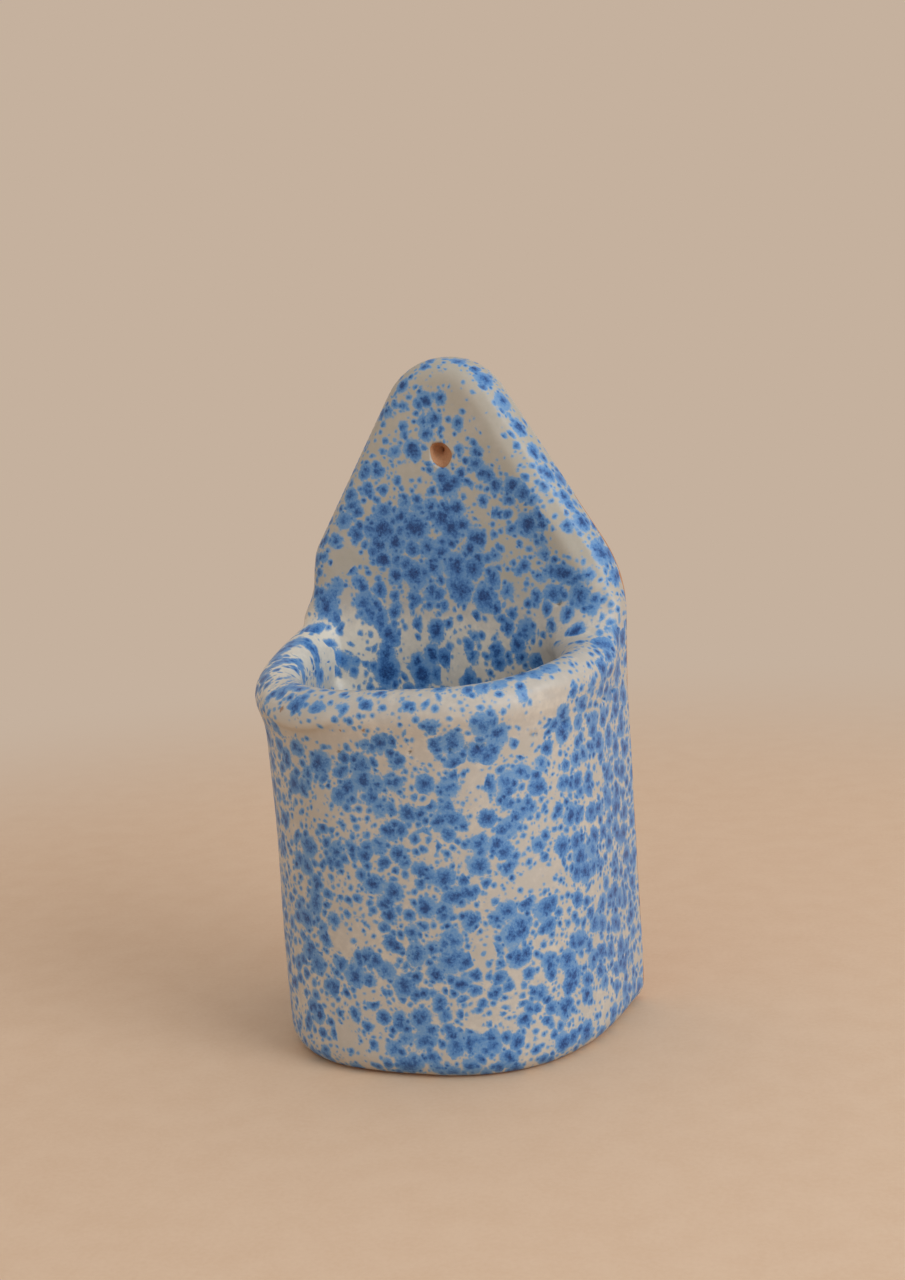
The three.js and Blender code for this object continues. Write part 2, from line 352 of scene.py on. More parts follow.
def unrolled_wall(points):
    """Round the plan from the right, and up the outside, over the rim and down the inside."""
    x, y, z = points.T
    ahead = SLAB_FRONT - y
    turns = np.linspace(0, np.pi, PLAN_STEPS)
    plan = np.stack((np.cos(turns), np.sin(turns)), axis=1) * plan_distance(turns)[:, None]
    walked = np.concatenate(([0.0], np.cumsum(np.linalg.norm(np.diff(plan, axis=0), axis=1))))
    turn = np.arctan2(np.maximum(ahead, 0.0), x)
    behind = np.minimum(ahead, 0.0) * np.where(x > 0, FOLDED_OUT, -FOLDED_OUT)
    around = np.interp(turn, turns, walked) + behind
    inset = plan_distance(turn) - np.hypot(x, np.maximum(ahead, 0.0))
    middle = RIM_MIDDLE + RIM_TILT * (1 - ahead / REACH)
    over = np.arctan2(z - middle, RIM_INSET - inset)
    down_inside = middle + np.pi * RIM_RADIUS + (middle - z) + np.maximum(inset - INNER_FACE, 0.0)
    below = np.where(inset < RIM_INSET, z, down_inside)
    upward = np.where(z > middle, middle + RIM_RADIUS * over, below)
    return np.stack((around, upward, np.zeros(len(points))), axis=1)


wall_map = unrolled_wall(points_of(skin) / MM)
print("wall map in mm:", wall_map.min(axis=0).round(1)[:2], "to", wall_map.max(axis=0).round(1)[:2])

# %% [markdown]
# ## The hand in it
# No face of a hand-built pot is flat. A slow wobble, a few tenths of a millimetre deep, breaks
# the straight lines of the clay pieces. Three marks are the potter's own: a lip on the front left,
# where the rim was rolled over and not smoothed down, a shallow press below the rim's right end,
# and a raised border along the slab's right edge. On the slab's edges the melting glaze ran thin.
# Then every point is kept at least a thin glaze away from the clay, so that no clay pokes through.

# %% Shape the rim's marks
LIP_MIDDLE, CREASE_HEIGHT, CREASE_DIP = 94, 80.3, 0.02
PRESS_MIDDLE, PRESS_HEIGHT, PUSHED_UP_HEIGHT = 35.5, 84.5, 87.4


def rolled_lip(around, upward):
    """A lip that stands out over a crease; the crease dips in the middle."""
    above = upward - CREASE_HEIGHT - CREASE_DIP * (around - LIP_MIDDLE) ** 2
    return (ease(above, -0.7, 0.9) * ease(above, 6.5, 0.9)
            * ease(around, 79, 87) * ease(around, 112, 105))


def pressed_rim(around, upward):
    """A press below the rim's right end, with the clay it pushed up."""
    along = np.exp(-((around - PRESS_MIDDLE) / 4.5) ** 2)
    pushed_up = 0.5 * np.exp(-((upward - PUSHED_UP_HEIGHT) / 1.6) ** 2)
    return along * (pushed_up - np.exp(-((upward - PRESS_HEIGHT) / 1.3) ** 2))


print("the lip's middle on the wall map:", LIP_MIDDLE, "the press:", PRESS_MIDDLE)

# %% Shape the slab's marks
BORDER_INSET = 5
EDGE_ACROSS, EDGE_UP = 13.8, 151.1  # a place on the sloping right edge, and the way out from it
OUT_ACROSS, OUT_UP = 0.861, 0.508
SIDE_ACROSS = 41.2
LIP_PUSH, PRESS_PUSH, BORDER_PUSH, EDGE_SINK = 0.95, 0.55, 0.75, 0.45


def raised_border(across, upward, facing):
    """A low ridge inside the slab's right edge, steep outwards and gentle inwards."""
    from_slope = (EDGE_ACROSS - across) * OUT_ACROSS + (EDGE_UP - upward) * OUT_UP
    from_edge = np.minimum(from_slope, SIDE_ACROSS - across)
    side = np.where(from_edge < BORDER_INSET, 1.8, 5.0)
    height = 0.7 + 0.6 * ease(upward, 145, 120)
    crest = np.exp(-((from_edge - BORDER_INSET) / side) ** 2) * height
    return crest * ease(facing, 0.4, 0.9) * ease(upward, 96, 104) * ease(upward, 157, 150)


def thin_edge(y, z, normals):
    """1 on the slab's edges, where the melting glaze ran thin."""
    facing_out = ease(np.abs(normals[:, 1]), 0.9, 0.5)
    return facing_out * ease(y, SLAB_FRONT - 1, SLAB_FRONT + 1) * ease(z, 98, 106)


def marks(points, normals):
    """How far the potter's marks and the thin edges push the surface, in mm."""
    around, upward, _ = unrolled_wall(points / MM).T
    x, y, z = (points / MM).T
    on_face = ease(y, SLAB_FRONT - 3, SLAB_FRONT - 1.5)
    border = BORDER_PUSH * raised_border(x, z, -normals[:, 1]) * on_face
    on_rim = LIP_PUSH * rolled_lip(around, upward) + PRESS_PUSH * pressed_rim(around, upward)
    return on_rim + (border - EDGE_SINK * thin_edge(y, z, normals))


skin_marks = marks(points_of(skin), normals_of(skin))
print("marks in mm:", skin_marks.min().round(2), "to", skin_marks.max().round(2))

# %% Wobble the skin
THIN = 0.2 * MM
# From slow waves to small dents: length in mm, push in mm, and where each starts in the noise
WAVES = [(31, 0.45, (0, 0, 0)), (11, 0.16, (7, 3, 5)), (4.2, 0.05, (1, 9, 2))]


def wobble(point):
    """How far the hand pushed the surface, in mm."""
    return sum(push * noise.noise(point / (length * MM) + Vector(start))
               for length, push, start in WAVES)


def hand_work(mesh, mark_pushes):
    """Push the skin by the wobble and the marks, and lift what comes too near the clay."""
    points, normals = points_of(mesh), normals_of(mesh)
    pushes = (np.array([wobble(Vector(point)) for point in points]) + mark_pushes) * MM
    points += normals * pushes[:, None]
    lifted = 0
    for index, point in enumerate(points):
        nearest, facing, _, _ = bare_clay_shape.find_nearest(Vector(point))
        height = (Vector(point) - nearest).dot(facing)
        if height < THIN:
            points[index] = nearest + facing * THIN
            lifted += 1
    set_points(mesh, points)
    return pushes, lifted


skin_pushes, points_lifted = hand_work(skin, skin_marks)
print("pushes in mm:", (skin_pushes.min() / MM).round(2), "to", (skin_pushes.max() / MM).round(2))
print("points lifted off the clay:", points_lifted)

# %% [markdown]
# ## Where the glaze ends
# The glaze was wiped off the back, so that the pot could hang flat, and off the base, so that it
# didn't stick to the kiln shelf. It also stops at the mouth of the punched hole. Each line is cut
# a little unevenly, as a sponge leaves it, and further from the back on the slab's right side. The
# cut edge is turned in to the clay, so that the coat has a thickness there.

# %% Draw the glaze's edge round the hole
EDGE_LONG, EDGE_SHORT, EDGE_LEAN = 3.2 * MM, 2.75 * MM, math.radians(32)


def glaze_edge(turn):
    """Distance from the hole's middle to the glaze, for a direction round the hole."""
    from_long = turn - math.pi / 2 - EDGE_LEAN
    oval = 1.0 / math.hypot(math.cos(from_long) / EDGE_LONG, math.sin(from_long) / EDGE_SHORT)
    waver = 0.12 * math.sin(3 * turn + 0.6) + 0.08 * math.sin(5 * turn + 2.0)
    return oval + waver * MM


around_hole = [round(glaze_edge(eighth * math.pi / 4) / MM, 2) for eighth in range(8)]
print("glaze edge round the hole in mm:", around_hole)


# %% Cut the coat
BACK_LINE, BASE_LINE = 1.25, 0.55
RIGHT_SIDE, SHOULDER = 30 * MM, 106 * MM
WORN_ABOVE, WORN_BELOW = 1.1, 1.9
HOLE_REACH = 3 * MM


def trim(mesh, keep_side):
    """Cut a mesh along the line where keep_side is zero, and drop the part where it is negative."""
    work = bmesh.new()
    work.from_mesh(mesh)
    side = {vert: keep_side(vert.co) for vert in work.verts}
    on_line = []
    for edge in list(work.edges):
        first, second = edge.verts
        if side[first] * side[second] < 0:
            share = side[first] / (side[first] - side[second])
            _, vert = bmesh.utils.edge_split(edge, first, share)
            side[vert] = 0.0
            on_line.append(vert)
    bmesh.ops.connect_verts(work, verts=on_line)
    dropped = [face for face in work.faces if sum(side[vert] for vert in face.verts) < 0]
    bmesh.ops.delete(work, geom=dropped, context="FACES")
    work.to_mesh(mesh)
    work.free()
    return len(dropped)


def above_back(point):
    """How far a point is in front of the line where the back was wiped."""
    waver = 0.35 * noise.noise(point / (9 * MM)) + 0.12 * noise.noise(point / (2.5 * MM))
    worn = 0.0
    if point.x > RIGHT_SIDE:
        worn = WORN_ABOVE if point.z > SHOULDER else WORN_BELOW
    return slab_back - (BACK_LINE + worn + waver) * MM - point.y


def above_base(point):
    """How far a point is above the line where the base was wiped."""
    waver = 0.3 * noise.noise(point / (8 * MM) + Vector((4, 4, 4)))
    return point.z - clay_low[2] - (BASE_LINE + waver) * MM


def outside_hole(point):
    """How far a point on the slab's face is outside the glaze's edge; elsewhere all is kept."""
    if point.y > slab_front + HOLE_REACH:
        return 1.0
    across, upward = point.x - hole_x, point.z - hole_z
    return math.hypot(across, upward) - glaze_edge(math.atan2(upward, across))


for place, rule in (("back", above_back), ("base", above_base), ("hole", outside_hole)):
    print("faces wiped off at the", place + ":", trim(skin, rule))


# %% Turn the cut edges in
def turn_in(mesh, depth):
    """A strip along every cut edge that runs straight in to the clay."""
    work = bmesh.new()
    work.from_mesh(mesh)
    work.normal_update()
    edges = [edge for edge in work.edges if edge.is_boundary]
    made = bmesh.ops.extrude_edge_only(work, edges=edges)["geom"]
    new_verts = {item for item in made if isinstance(item, bmesh.types.BMVert)}
    for vert in new_verts:
        beside = (edge.other_vert(vert) for edge in vert.link_edges)
        old = next(other for other in beside if other not in new_verts)
        vert.co -= old.normal * depth
    bmesh.ops.recalc_face_normals(work, faces=work.faces)
    work.to_mesh(mesh)
    work.free()
    return len(edges)


print("cut edges turned in:", turn_in(skin, 1.3 * COAT))

# %% Make the coat a piece of its own
coat = bpy.data.objects.new("glaze_coat", skin)
scene.collection.objects.link(coat)
skin.shade_smooth()
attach(coat, "root")
print("glaze coat:", len(skin.polygons), "faces")

# %% [markdown]
# ## The burr in the hole
# A stick was pushed through the soft slab at a slant and pulled out downwards. It left a slope of
# dragged clay at the lower right of the hole, so the dark throat sits at the upper left. The burr
# is a lining of rings: it starts under the glaze's edge, slopes in, and runs on as a narrow
# throat that slants to the right.

# %% Line the hole
THROAT_RADIUS = 0.6 * MM
THROAT_SHIFT = Vector((-1.2, 0.0, 1.1)) * MM
THROAT_SLANT, SLANT_START = 0.5, 2.6 * MM
UNDER_GLAZE = 0.1 * MM
RING_STEPS = 56
# How far in each ring lies, from the glaze's edge to the throat, and how deep in mm
SLOPE = [(0.0, 0.1), (0.15, 0.3), (0.35, 0.8), (0.6, 1.6), (0.8, 2.3), (0.93, 2.9), (1.0, 3.6)]
THROAT = [(1.0, 5.2), (1.0, 6.8), (1.0, 8.0), (0.8, 8.6)]


def burr_ring(inward, depth):
    """One ring of the lining, from the glaze's edge (inward 0) to the throat (inward 1)."""
    ring = []
    for step in range(RING_STEPS):
        turn = 2 * math.pi * step / RING_STEPS
        way = Vector((math.cos(turn), 0, math.sin(turn)))
        edge = way * (glaze_edge(turn) + UNDER_GLAZE)
        slant = Vector((max(depth - SLANT_START, 0.0) * THROAT_SLANT, 0, 0))
        throat = way * THROAT_RADIUS + THROAT_SHIFT + slant
        place = edge.lerp(throat, inward) + Vector((hole_x, slab_front + depth, hole_z))
        crumbs = 0.22 * noise.noise(place / (1.1 * MM)) + 0.1 * noise.noise(place / (0.5 * MM))
        ring.append(place - way * crumbs * MM + Vector((0, crumbs * MM, 0)))
    return ring


def line_hole():
    """The lining of the hole, from ring to ring."""
    shape = bmesh.new()
    rings = [[shape.verts.new(point) for point in burr_ring(inward, depth * MM)]
             for inward, depth in SLOPE + THROAT]
    for ring, deeper in zip(rings, rings[1:]):
        for step in range(RING_STEPS):
            beside = (step + 1) % RING_STEPS
            shape.faces.new((ring[step], deeper[step], deeper[beside], ring[beside]))
    mesh = bpy.data.meshes.new("punched_burr")
    shape.to_mesh(mesh)
    shape.free()
    mesh.shade_smooth()
    return mesh


burr = bpy.data.objects.new("punched_burr", line_hole())
scene.collection.objects.link(burr)
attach(burr, "root")
print("burr:", len(burr.data.polygons), "faces")

# %% [markdown]
# ## Ridges
# Ridges shed glaze as it melts, so the rim's crest and the slab's edges catch fewer drops; they are
# also painted a paler cream, a painted highlight. Every point of the coat stores how sharp the
# ridge is there.

# %% Mark the ridges
def ridge_of(mesh):
    """1 on sharp ridges and 0 on flat or hollow places."""
    neighbours = neighbours_of(mesh)
    pull = pull_to_middle(points_of(mesh), neighbours)
    bend = (-(pull * normals_of(mesh)).sum(axis=1) / VOXEL)[:, None]
    for _ in range(6):
        bend += 0.6 * pull_to_middle(bend, neighbours)
    return ease(bend[:, 0], 0.02, 0.08)


def store(mesh, name, values):
    """Keep a number or a vector for every point of a mesh."""
    kind, field = ("FLOAT", "value") if values.ndim == 1 else ("FLOAT_VECTOR", "vector")
    layer = mesh.attributes.new(name, kind, "POINT")
    layer.data.foreach_set(field, values.astype(np.float32).ravel())


coat_points = points_of(skin)
coat_ridge = ridge_of(skin)
store(skin, "ridge", coat_ridge)
print("ridge points:", int((coat_ridge > 0.5).sum()), "of", len(coat_ridge))

# %% [markdown]
# ## Sharing the spray between the maps
# A drop is round on the surface it lands on, so it is drawn on the flat maps. Where the two
# sheets meet, the drops of one map thin out as the other's come in.

# %% Share the spray between the maps
slab_map = unrolled_slab(coat_points / MM, normals_of(skin))
wall_map = unrolled_wall(coat_points / MM)


def slab_share(points):
    """1 on the slab and 0 on the wall and rim, with a soft change over the joint."""
    x, y, z = points.T
    on_web = 0.8 * np.maximum(z - 90, 0.0)
    at_slab = ease(SLAB_FRONT - y - on_web, 6.5, 3.0)
    low_side = ease(np.abs(x), 36, 39.5) * ease(z, 100, 92)
    return at_slab * (1 - low_side)


slab_part = slab_share(coat_points / MM)
print("points on the slab:", int((slab_part > 0.5).sum()), "of", len(slab_part))

# %% [markdown]
# ## Where the spray fell
# The blue was flicked on from a brush: large drops that ran together, and fine spray round them.
# The large drops give this pot its look, so they were read off it and are written down
# here, as across, up and radius in millimetres on the two maps. So are the places that stayed
# bare. The fine spray is left to chance, but falls thicker round the large drops.

# %% List the large drops
slab_drops = [
    (0, 131, 2.0), (1.5, 128.5, 2.6), (-17, 119, 3.6), (-12, 121.5, 2.2), (-8, 119, 3.4),
    (-1, 121, 2.6), (1.5, 118.5, 3.0), (5, 119, 1.8), (8, 116, 2.1), (-17, 112, 2.0),
    (-13, 115.5, 2.4), (-9, 107.5, 3.0), (-14, 107.5, 1.8), (-2, 113, 2.2), (2, 109, 3.2),
    (8, 111, 1.6), (12, 111.5, 1.4), (3, 104, 2.8), (9, 101.5, 2.6), (11, 107, 1.6),
    (-15, 98.5, 1.5), (-4, 93.5, 1.9), (-17, 93, 2.0), (-18, 88, 2.2), (-18, 83.5, 3.0),
    (-9, 83, 2.6), (-6, 88, 1.8), (-10, 86, 1.6), (-33.5, 101, 3.2), (-23, 101, 2.0),
    (-22, 98, 1.8), (-29.5, 87, 2.0), (21, 119, 2.6), (22.5, 125, 1.4), (18, 128, 2.0),
    (13.5, 128.5, 1.6), (11, 131, 1.9), (5, 131.5, 1.2), (33, 102, 2.6), (29.5, 107.5, 2.0),
    (26, 108, 1.6), (32, 106, 1.4), (19, 94, 1.9), (32.5, 93.5, 2.0), (14, 95, 1.5), (26, 95, 1.0),
    (11, 88.5, 1.8), (17.5, 87.5, 1.3), (4.5, 87, 1.1), (6, 92, 1.0), (15, 103.5, 1.2),
    (23, 106.5, 1.0), (-3, 149.3, 1.8), (1, 150, 1.3), (-1, 145, 1.9), (-4.5, 144.5, 1.2),
    (-3.5, 141.5, 1.6), (5, 143.5, 1.3), (-7.5, 138, 1.9), (-12, 137.5, 1.2), (9.5, 137, 1.6),
    (-9, 141.5, 0.9), (-17, 133, 1.5), (-20, 128.5, 1.7), (-24, 124.5, 1.5), (-26.5, 120.8, 1.6),
    (-29.5, 116.5, 1.5), (-13.5, 147.5, 1.4), (-33, 112.5, 1.3), (-9, 153.5, 1.5), (25, 119, 1.2),
    (31, 118.5, 1.1), (14, 122, 1.0), (-10, 125.5, 1.5), (10, 125, 1.2), (13, 155, 2.4),
    (17.5, 149, 2.2), (21, 143, 2.0), (24, 137, 2.0), (27, 131.5, 2.0), (31, 126, 1.8),
    (35, 120, 2.0), (39.5, 112.5, 3.2), (43, 106, 1.8), (-5, 114, 2.0), (-18, 115, 2.0),
    (6, 113, 1.8), (-4, 109, 2.0), (-5, 103, 1.8), (-10, 102, 1.4), (-20, 119, 1.8), (-4, 124, 2.0),
    (3, 123.5, 2.2), (-13, 111, 1.8), (24.5, 112, 1.4), (28, 102.5, 1.3), (35, 107, 1.3),
    (22, 101.5, 1.2), (36, 99, 1.4), (30, 98, 1.2), (18, 108, 1.1), (24, 115.5, 1.2),
    (17, 118, 1.2), (-24, 106, 1.3), (-30, 105, 1.6), (-26.5, 86, 0.9), (39, 95, 1.7),
]
wall_drops = [
    (101.5, 72.5, 1.8), (96.5, 75.5, 2.0), (90, 72.5, 2.6), (94, 70, 1.4), (79.5, 72.5, 2.4),
    (83.5, 67, 2.2), (80, 69, 2.4), (76, 68, 1.8), (72, 68.5, 1.6), (74, 77.5, 1.9),
    (78, 77.5, 1.2), (71, 73.8, 1.7), (84.5, 72, 1.3), (76.5, 63, 1.9), (96, 66.5, 1.5),
    (69.5, 61.5, 1.9), (66.5, 61.5, 1.3), (74, 57.5, 1.7), (60, 67.3, 2.0), (65, 68.5, 1.4),
    (61, 63, 1.7), (62.5, 59.5, 1.7), (59, 60, 1.5), (83.5, 53.5, 1.6), (77, 54, 1.6),
    (88, 52.5, 1.7), (89.5, 50, 1.4), (72.5, 52.5, 1.7), (71, 50.3, 1.1), (96, 53, 2.4),
    (97.5, 48, 2.2), (95, 41, 2.0), (99, 35.5, 2.3), (94.5, 44, 1.4), (79, 45.5, 2.2),
    (74, 44, 2.2), (76, 41.5, 1.4), (66, 47.3, 1.6), (62.5, 47, 1.9), (60, 43, 1.7),
    (67, 40.5, 2.2), (63, 40, 1.5), (75.5, 38.5, 1.5), (90, 36.5, 1.5), (93, 31.5, 1.6),
    (93.5, 34, 1.2), (70.5, 34.5, 1.7), (70, 29.5, 2.4), (62, 33, 2.2), (62.5, 28, 2.4),
    (66.5, 31, 1.5), (82, 28.3, 1.9), (77.5, 25.5, 2.0), (85.5, 24, 2.4), (89.5, 26, 1.5),
    (73.5, 22, 2.3), (60.5, 22.8, 2.0), (66, 25, 1.8), (96, 25, 2.0), (99, 27.5, 1.6),
    (82, 23, 1.2), (70, 14.5, 2.3), (64.5, 15.5, 1.5), (75.5, 14.5, 1.4), (86, 14.5, 1.4),
    (69.5, 9.5, 2.2), (74, 9.8, 1.4), (77, 7, 1.6), (72.5, 4.5, 1.9), (67.5, 3, 1.5), (59, 9, 2.2),
    (97, 12.5, 1.6), (63, 10.5, 1.6), (52, 81, 2.2), (49, 78.5, 2.4), (53.5, 75, 2.0),
    (50, 75.5, 1.8), (58.5, 77.5, 2.2), (31.5, 79.5, 2.2), (31.5, 75.5, 2.0), (34.5, 78, 1.5),
    (47, 67.5, 1.9), (43.5, 69, 1.7), (48, 64, 1.5), (44, 60.5, 2.0), (47.5, 57.5, 2.2),
    (50.5, 54, 2.0), (54, 52.5, 1.4), (41.5, 60.5, 1.4), (38.5, 70, 1.4), (27, 68.5, 1.7),
    (23.5, 69, 1.4), (29, 63.5, 1.6), (30, 56.5, 2.2), (40.5, 52, 1.7), (47.5, 49, 1.4),
    (55, 49.5, 2.1), (27.5, 46.5, 2.4), (23, 46.5, 1.8), (26, 42, 2.2), (14, 46, 2.0),
    (13, 51, 1.7), (57.5, 43.5, 1.7), (57.5, 37, 1.8), (51.5, 37, 1.8), (46, 35, 2.0),
    (48.5, 32.5, 2.0), (40, 36.5, 2.2), (47.5, 27.5, 2.2), (39.5, 23.5, 1.9), (34, 23.5, 2.2),
    (29.5, 27, 2.4), (32.5, 20, 2.4), (24.5, 21, 2.2), (42.5, 18, 1.6), (53, 20.3, 1.4),
    (47, 13, 1.5), (54.5, 9.5, 1.9), (51, 4.5, 2.0), (59.5, 3.2, 1.9), (36, 12.5, 2.2),
    (37, 5, 2.2), (29, 5.5, 2.0), (28, 14, 1.9), (16, 70, 2.2), (12, 62, 2.4), (13, 56, 2.0),
    (6, 66, 2.0), (18.5, 76, 1.9), (7, 56, 2.0), (19, 33, 1.9), (22.5, 29, 2.0), (12, 26, 2.2),
    (6, 45, 1.8), (5, 75, 1.8), (10, 38, 1.8), (5, 30, 1.6), (20, 14, 1.6), (6, 18, 1.6),
    (3, 83, 2.2), (9, 80, 1.8), (1, 70, 2.0), (10, 70, 2.2), (2, 60, 2.2), (2, 50, 2.0),
    (9, 48, 2.0), (1, 39, 2.0), (14, 33, 2.0), (1, 24, 2.0), (9, 31, 2.0), (16, 20, 2.0),
    (10, 15, 1.8), (16, 5, 2.0), (8, 7, 1.6), (24, 80, 1.6), (13, 76, 1.6), (22, 63, 1.6),
    (18, 55, 1.6), (20, 42, 1.5), (32.5, 92, 2.1), (37.5, 91, 1.7), (41.5, 91, 1.3), (47, 90, 1.4),
    (51, 89.5, 1.5), (42.5, 86, 1.3), (8, 91.5, 1.9), (3.5, 94, 1.7), (14.5, 85.5, 1.7),
    (21, 84.5, 1.1),
]
slab_bare = [
    (7, 147, 4), (13, 144, 3), (14, 138, 3), (-7, 133, 3), (10, 123, 2), (-28, 111, 3),
    (-27.5, 99, 2.5), (-27, 93, 3), (5, 95, 3), (2, 87, 3), (17, 104, 2), (16, 113, 2),
    (29, 115, 2), (27, 122, 2.5), (-11, 90, 2.5), (26, 89, 4), (-12, 153, 2), (5, 154, 2),
]
wall_bare = [
    (97, 80, 3), (88, 78, 3.5), (66, 78, 2.5), (91, 62, 2.5), (66, 55.5, 2.5), (66, 65, 1.5),
    (55, 69, 2.5), (42, 74, 3), (36, 86, 6), (44, 47, 3), (39, 45, 2.5), (21, 37, 3), (88, 32, 3),
    (83, 34, 2.5), (95, 30, 1.5), (55, 30, 2), (57, 14.5, 3), (82, 19, 2.5), (43, 13, 2),
    (20, 9, 3), (14, 14, 3), (90, 9, 3), (18, 62, 2), (131.5, 97.5, 2.8), (116, 96, 3),
    (142, 99, 3),
]
print("large drops:", len(slab_drops), "on the slab and", len(wall_drops), "on the wall")

# %% [markdown]
# At its left end the rim was drawn up the slab, and the drops on it ran out into bands that arch
# over the crest. Each band is a path on the wall's map with a half width, and drops in a row fill it.

# %% Draw the bands on the rim's left end
wall_bands = [
    ([(130, 92), (138.5, 95.5), (137, 99), (136, 106)], 1.1),
    ([(119, 89), (124.5, 95), (125.5, 98), (121.5, 101)], 1.1),
    ([(104, 86), (101, 90), (96, 90.5)], 0.9),
]


def drops_along(path, radius):
    """Drops in a row, at most one radius apart, along a path."""
    row = []
    for (across, upward), (next_across, next_upward) in zip(path, path[1:]):
        on, rise = next_across - across, next_upward - upward
        steps = math.ceil(math.hypot(on, rise) / radius)
        row += [(across + on * step / steps, upward + rise * step / steps, radius)
                for step in range(steps + 1)]
    return row


band_drops = [drop for path, radius in wall_bands for drop in drops_along(path, radius)]
print("drops in the bands:", len(band_drops))

# %% Measure from the drops and the bare spots
MELTED = 0.55
NO_DROP = 9.0


def lay_drops(places, large_drops):
    """How far each point is from a drop's melted edge, in mm, and how deep it is in a drop."""
    gap = np.full(len(places), NO_DROP)
    deep = np.zeros(len(places))
    for across, upward, radius in large_drops:
        away = np.hypot(places[:, 0] - across, places[:, 1] - upward)
        gap = np.minimum(gap, away - radius - MELTED)
        deep = np.maximum(deep, 1 - away / radius)
    return gap, deep


def bareness(places, bare_spots):
    """1 in the middle of a bare spot, fading out round it."""
    total = np.zeros(len(places))
    for across, upward, spread in bare_spots:
        away = (places[:, 0] - across) ** 2 + (places[:, 1] - upward) ** 2
        total = np.maximum(total, np.exp(-away / (2 * spread ** 2)))
    return total


print("a drop melts out by", MELTED, "mm")

# %% [markdown]
# Chance bends the maps a little, so that the drops come out ragged, and lets the spray drift. The
# base load of spray and the darkness of the large drops also change over each map: the pot's
# sides got more spray, and on the rim the blue is weaker. The web at the rim's right end stayed
# almost bare.

# %% Let chance in
BARE_WEB, BARE_WEB_SPREAD = (31, 14, 97), 8


def at_points(make_noise, length):
    """Noise of a length in mm at every point of the coat."""
    return np.array([make_noise(Vector(point) / (length * MM)) for point in coat_points])


warp = at_points(noise.noise_vector, 6)
wander = at_points(noise.noise_vector, 2.8)
drift = at_points(noise.noise, 9)
web = near_place(coat_points, BARE_WEB, BARE_WEB_SPREAD)
print("drift of the spray:", drift.min().round(2), "to", drift.max().round(2))

# %% Load the maps
OFF_MAP = 6.0
NEAR_DROPS = 2.2
MOST_LOAD = 1.5
DROP_WARP, DROP_WANDER, SPRAY_WARP = 0.5, 0.7, 0.8
NEAR_GAIN, DRIFT_GAIN = 0.3, 0.3
HELD_BY_RIDGE, HELD_BY_SPOT, HELD_BY_WEB = 0.15, 0.75, 0.7


def run_with_map(places):
    """The places on the slab as they lie on its map, behind the rim too."""
    return [(across, upward + run_down(across, upward), size) for across, upward, size in places]


slab_base = 1.04 + 0.2 * ease(slab_map[:, 0], 36, 42) - 0.2 * ease(slab_map[:, 1], 130, 142)
below_rim = ease(wall_map[:, 1], 94, 88)
wall_sides = 0.3 * ease(wall_map[:, 0], 103, 112) * below_rim + 0.3 * ease(wall_map[:, 0], 18, 8)
wall_base = 0.98 + wall_sides + 0.16 * ease(wall_map[:, 1], 80, 74)
slab_strong = 1.2 - 0.4 * ease(slab_map[:, 0], -14, -28) - 0.15 * ease(slab_map[:, 0], 12, 28)
wall_strong = 0.98 - 0.5 * ease(wall_map[:, 1], 78, 86)
sheets = (
    ("slab", slab_map, slab_part, run_with_map(slab_drops), run_with_map(slab_bare),
     slab_base, slab_strong),
    ("wall", wall_map, 1 - slab_part, wall_drops + band_drops, wall_bare, wall_base, wall_strong),
)
blot_gap = np.full(len(coat_points), NO_DROP)
blot_deep = np.zeros(len(coat_points))
for name, flat, part, large_drops, bare_spots, base, strong in sheets:
    gap, deep = lay_drops(flat + DROP_WARP * warp + DROP_WANDER * wander, large_drops)
    blot_gap = np.minimum(blot_gap, gap + OFF_MAP * (1 - part))
    blot_deep = np.maximum(blot_deep, deep * part * strong)
    near = np.exp(-(np.maximum(gap, 0.0) / NEAR_DROPS) ** 2)
    spots = bareness(flat, bare_spots)
    held_off = HELD_BY_RIDGE * coat_ridge + HELD_BY_SPOT * spots + HELD_BY_WEB * web
    load = base + NEAR_GAIN * near + DRIFT_GAIN * drift - held_off
    store(skin, name + "_map", flat + SPRAY_WARP * warp)
    store(skin, name + "_load", np.clip(load, 0.0, MOST_LOAD) * part)
    print("fine spray on the", name + ":", load.min().round(2), "to", load.max().round(2))
store(skin, "blot_gap", blot_gap)
store(skin, "blot_deep", blot_deep)


# %% Mark the glaze's depth, with painted light and shade
def thickness_and_painted_light(points):
    """1 where the glaze pools pale behind the rim and 0 where it ran thin and brown; painted light
    raises it on the shaded slab behind the rim and on the rim's left end, and painted shade lowers it on
    the slab's right side.
    """
    x, _, z = points.T
    upper = slab_part * ease(z, 92, 108)
    # painted light on the shaded slab behind the rim, mostly on the left, along with glaze that pools
    # there
    pooled_and_lit = slab_part * ease(z, 108, 94) * (0.5 + 0.5 * ease(x, -12, -24))
    # painted light on the rim's left end
    lit_left_rim = (1 - slab_part) * ease(z, 80, 88) * ease(x, -14, -34)
    # thinner glaze high on the slab, and painted shade on the slab's right side
    thin = 0.4 * upper + 0.15 * slab_part * ease(x, 5, 25)
    return np.clip(0.5 - thin + 0.5 * pooled_and_lit + 0.45 * lit_left_rim, 0.0, 1.0)


thick_and_painted_light = thickness_and_painted_light(coat_points / MM)
store(skin, "thick_and_painted_light", thick_and_painted_light)
print("glaze thickness:", thick_and_painted_light.min().round(2), "to", thick_and_painted_light.max().round(2))

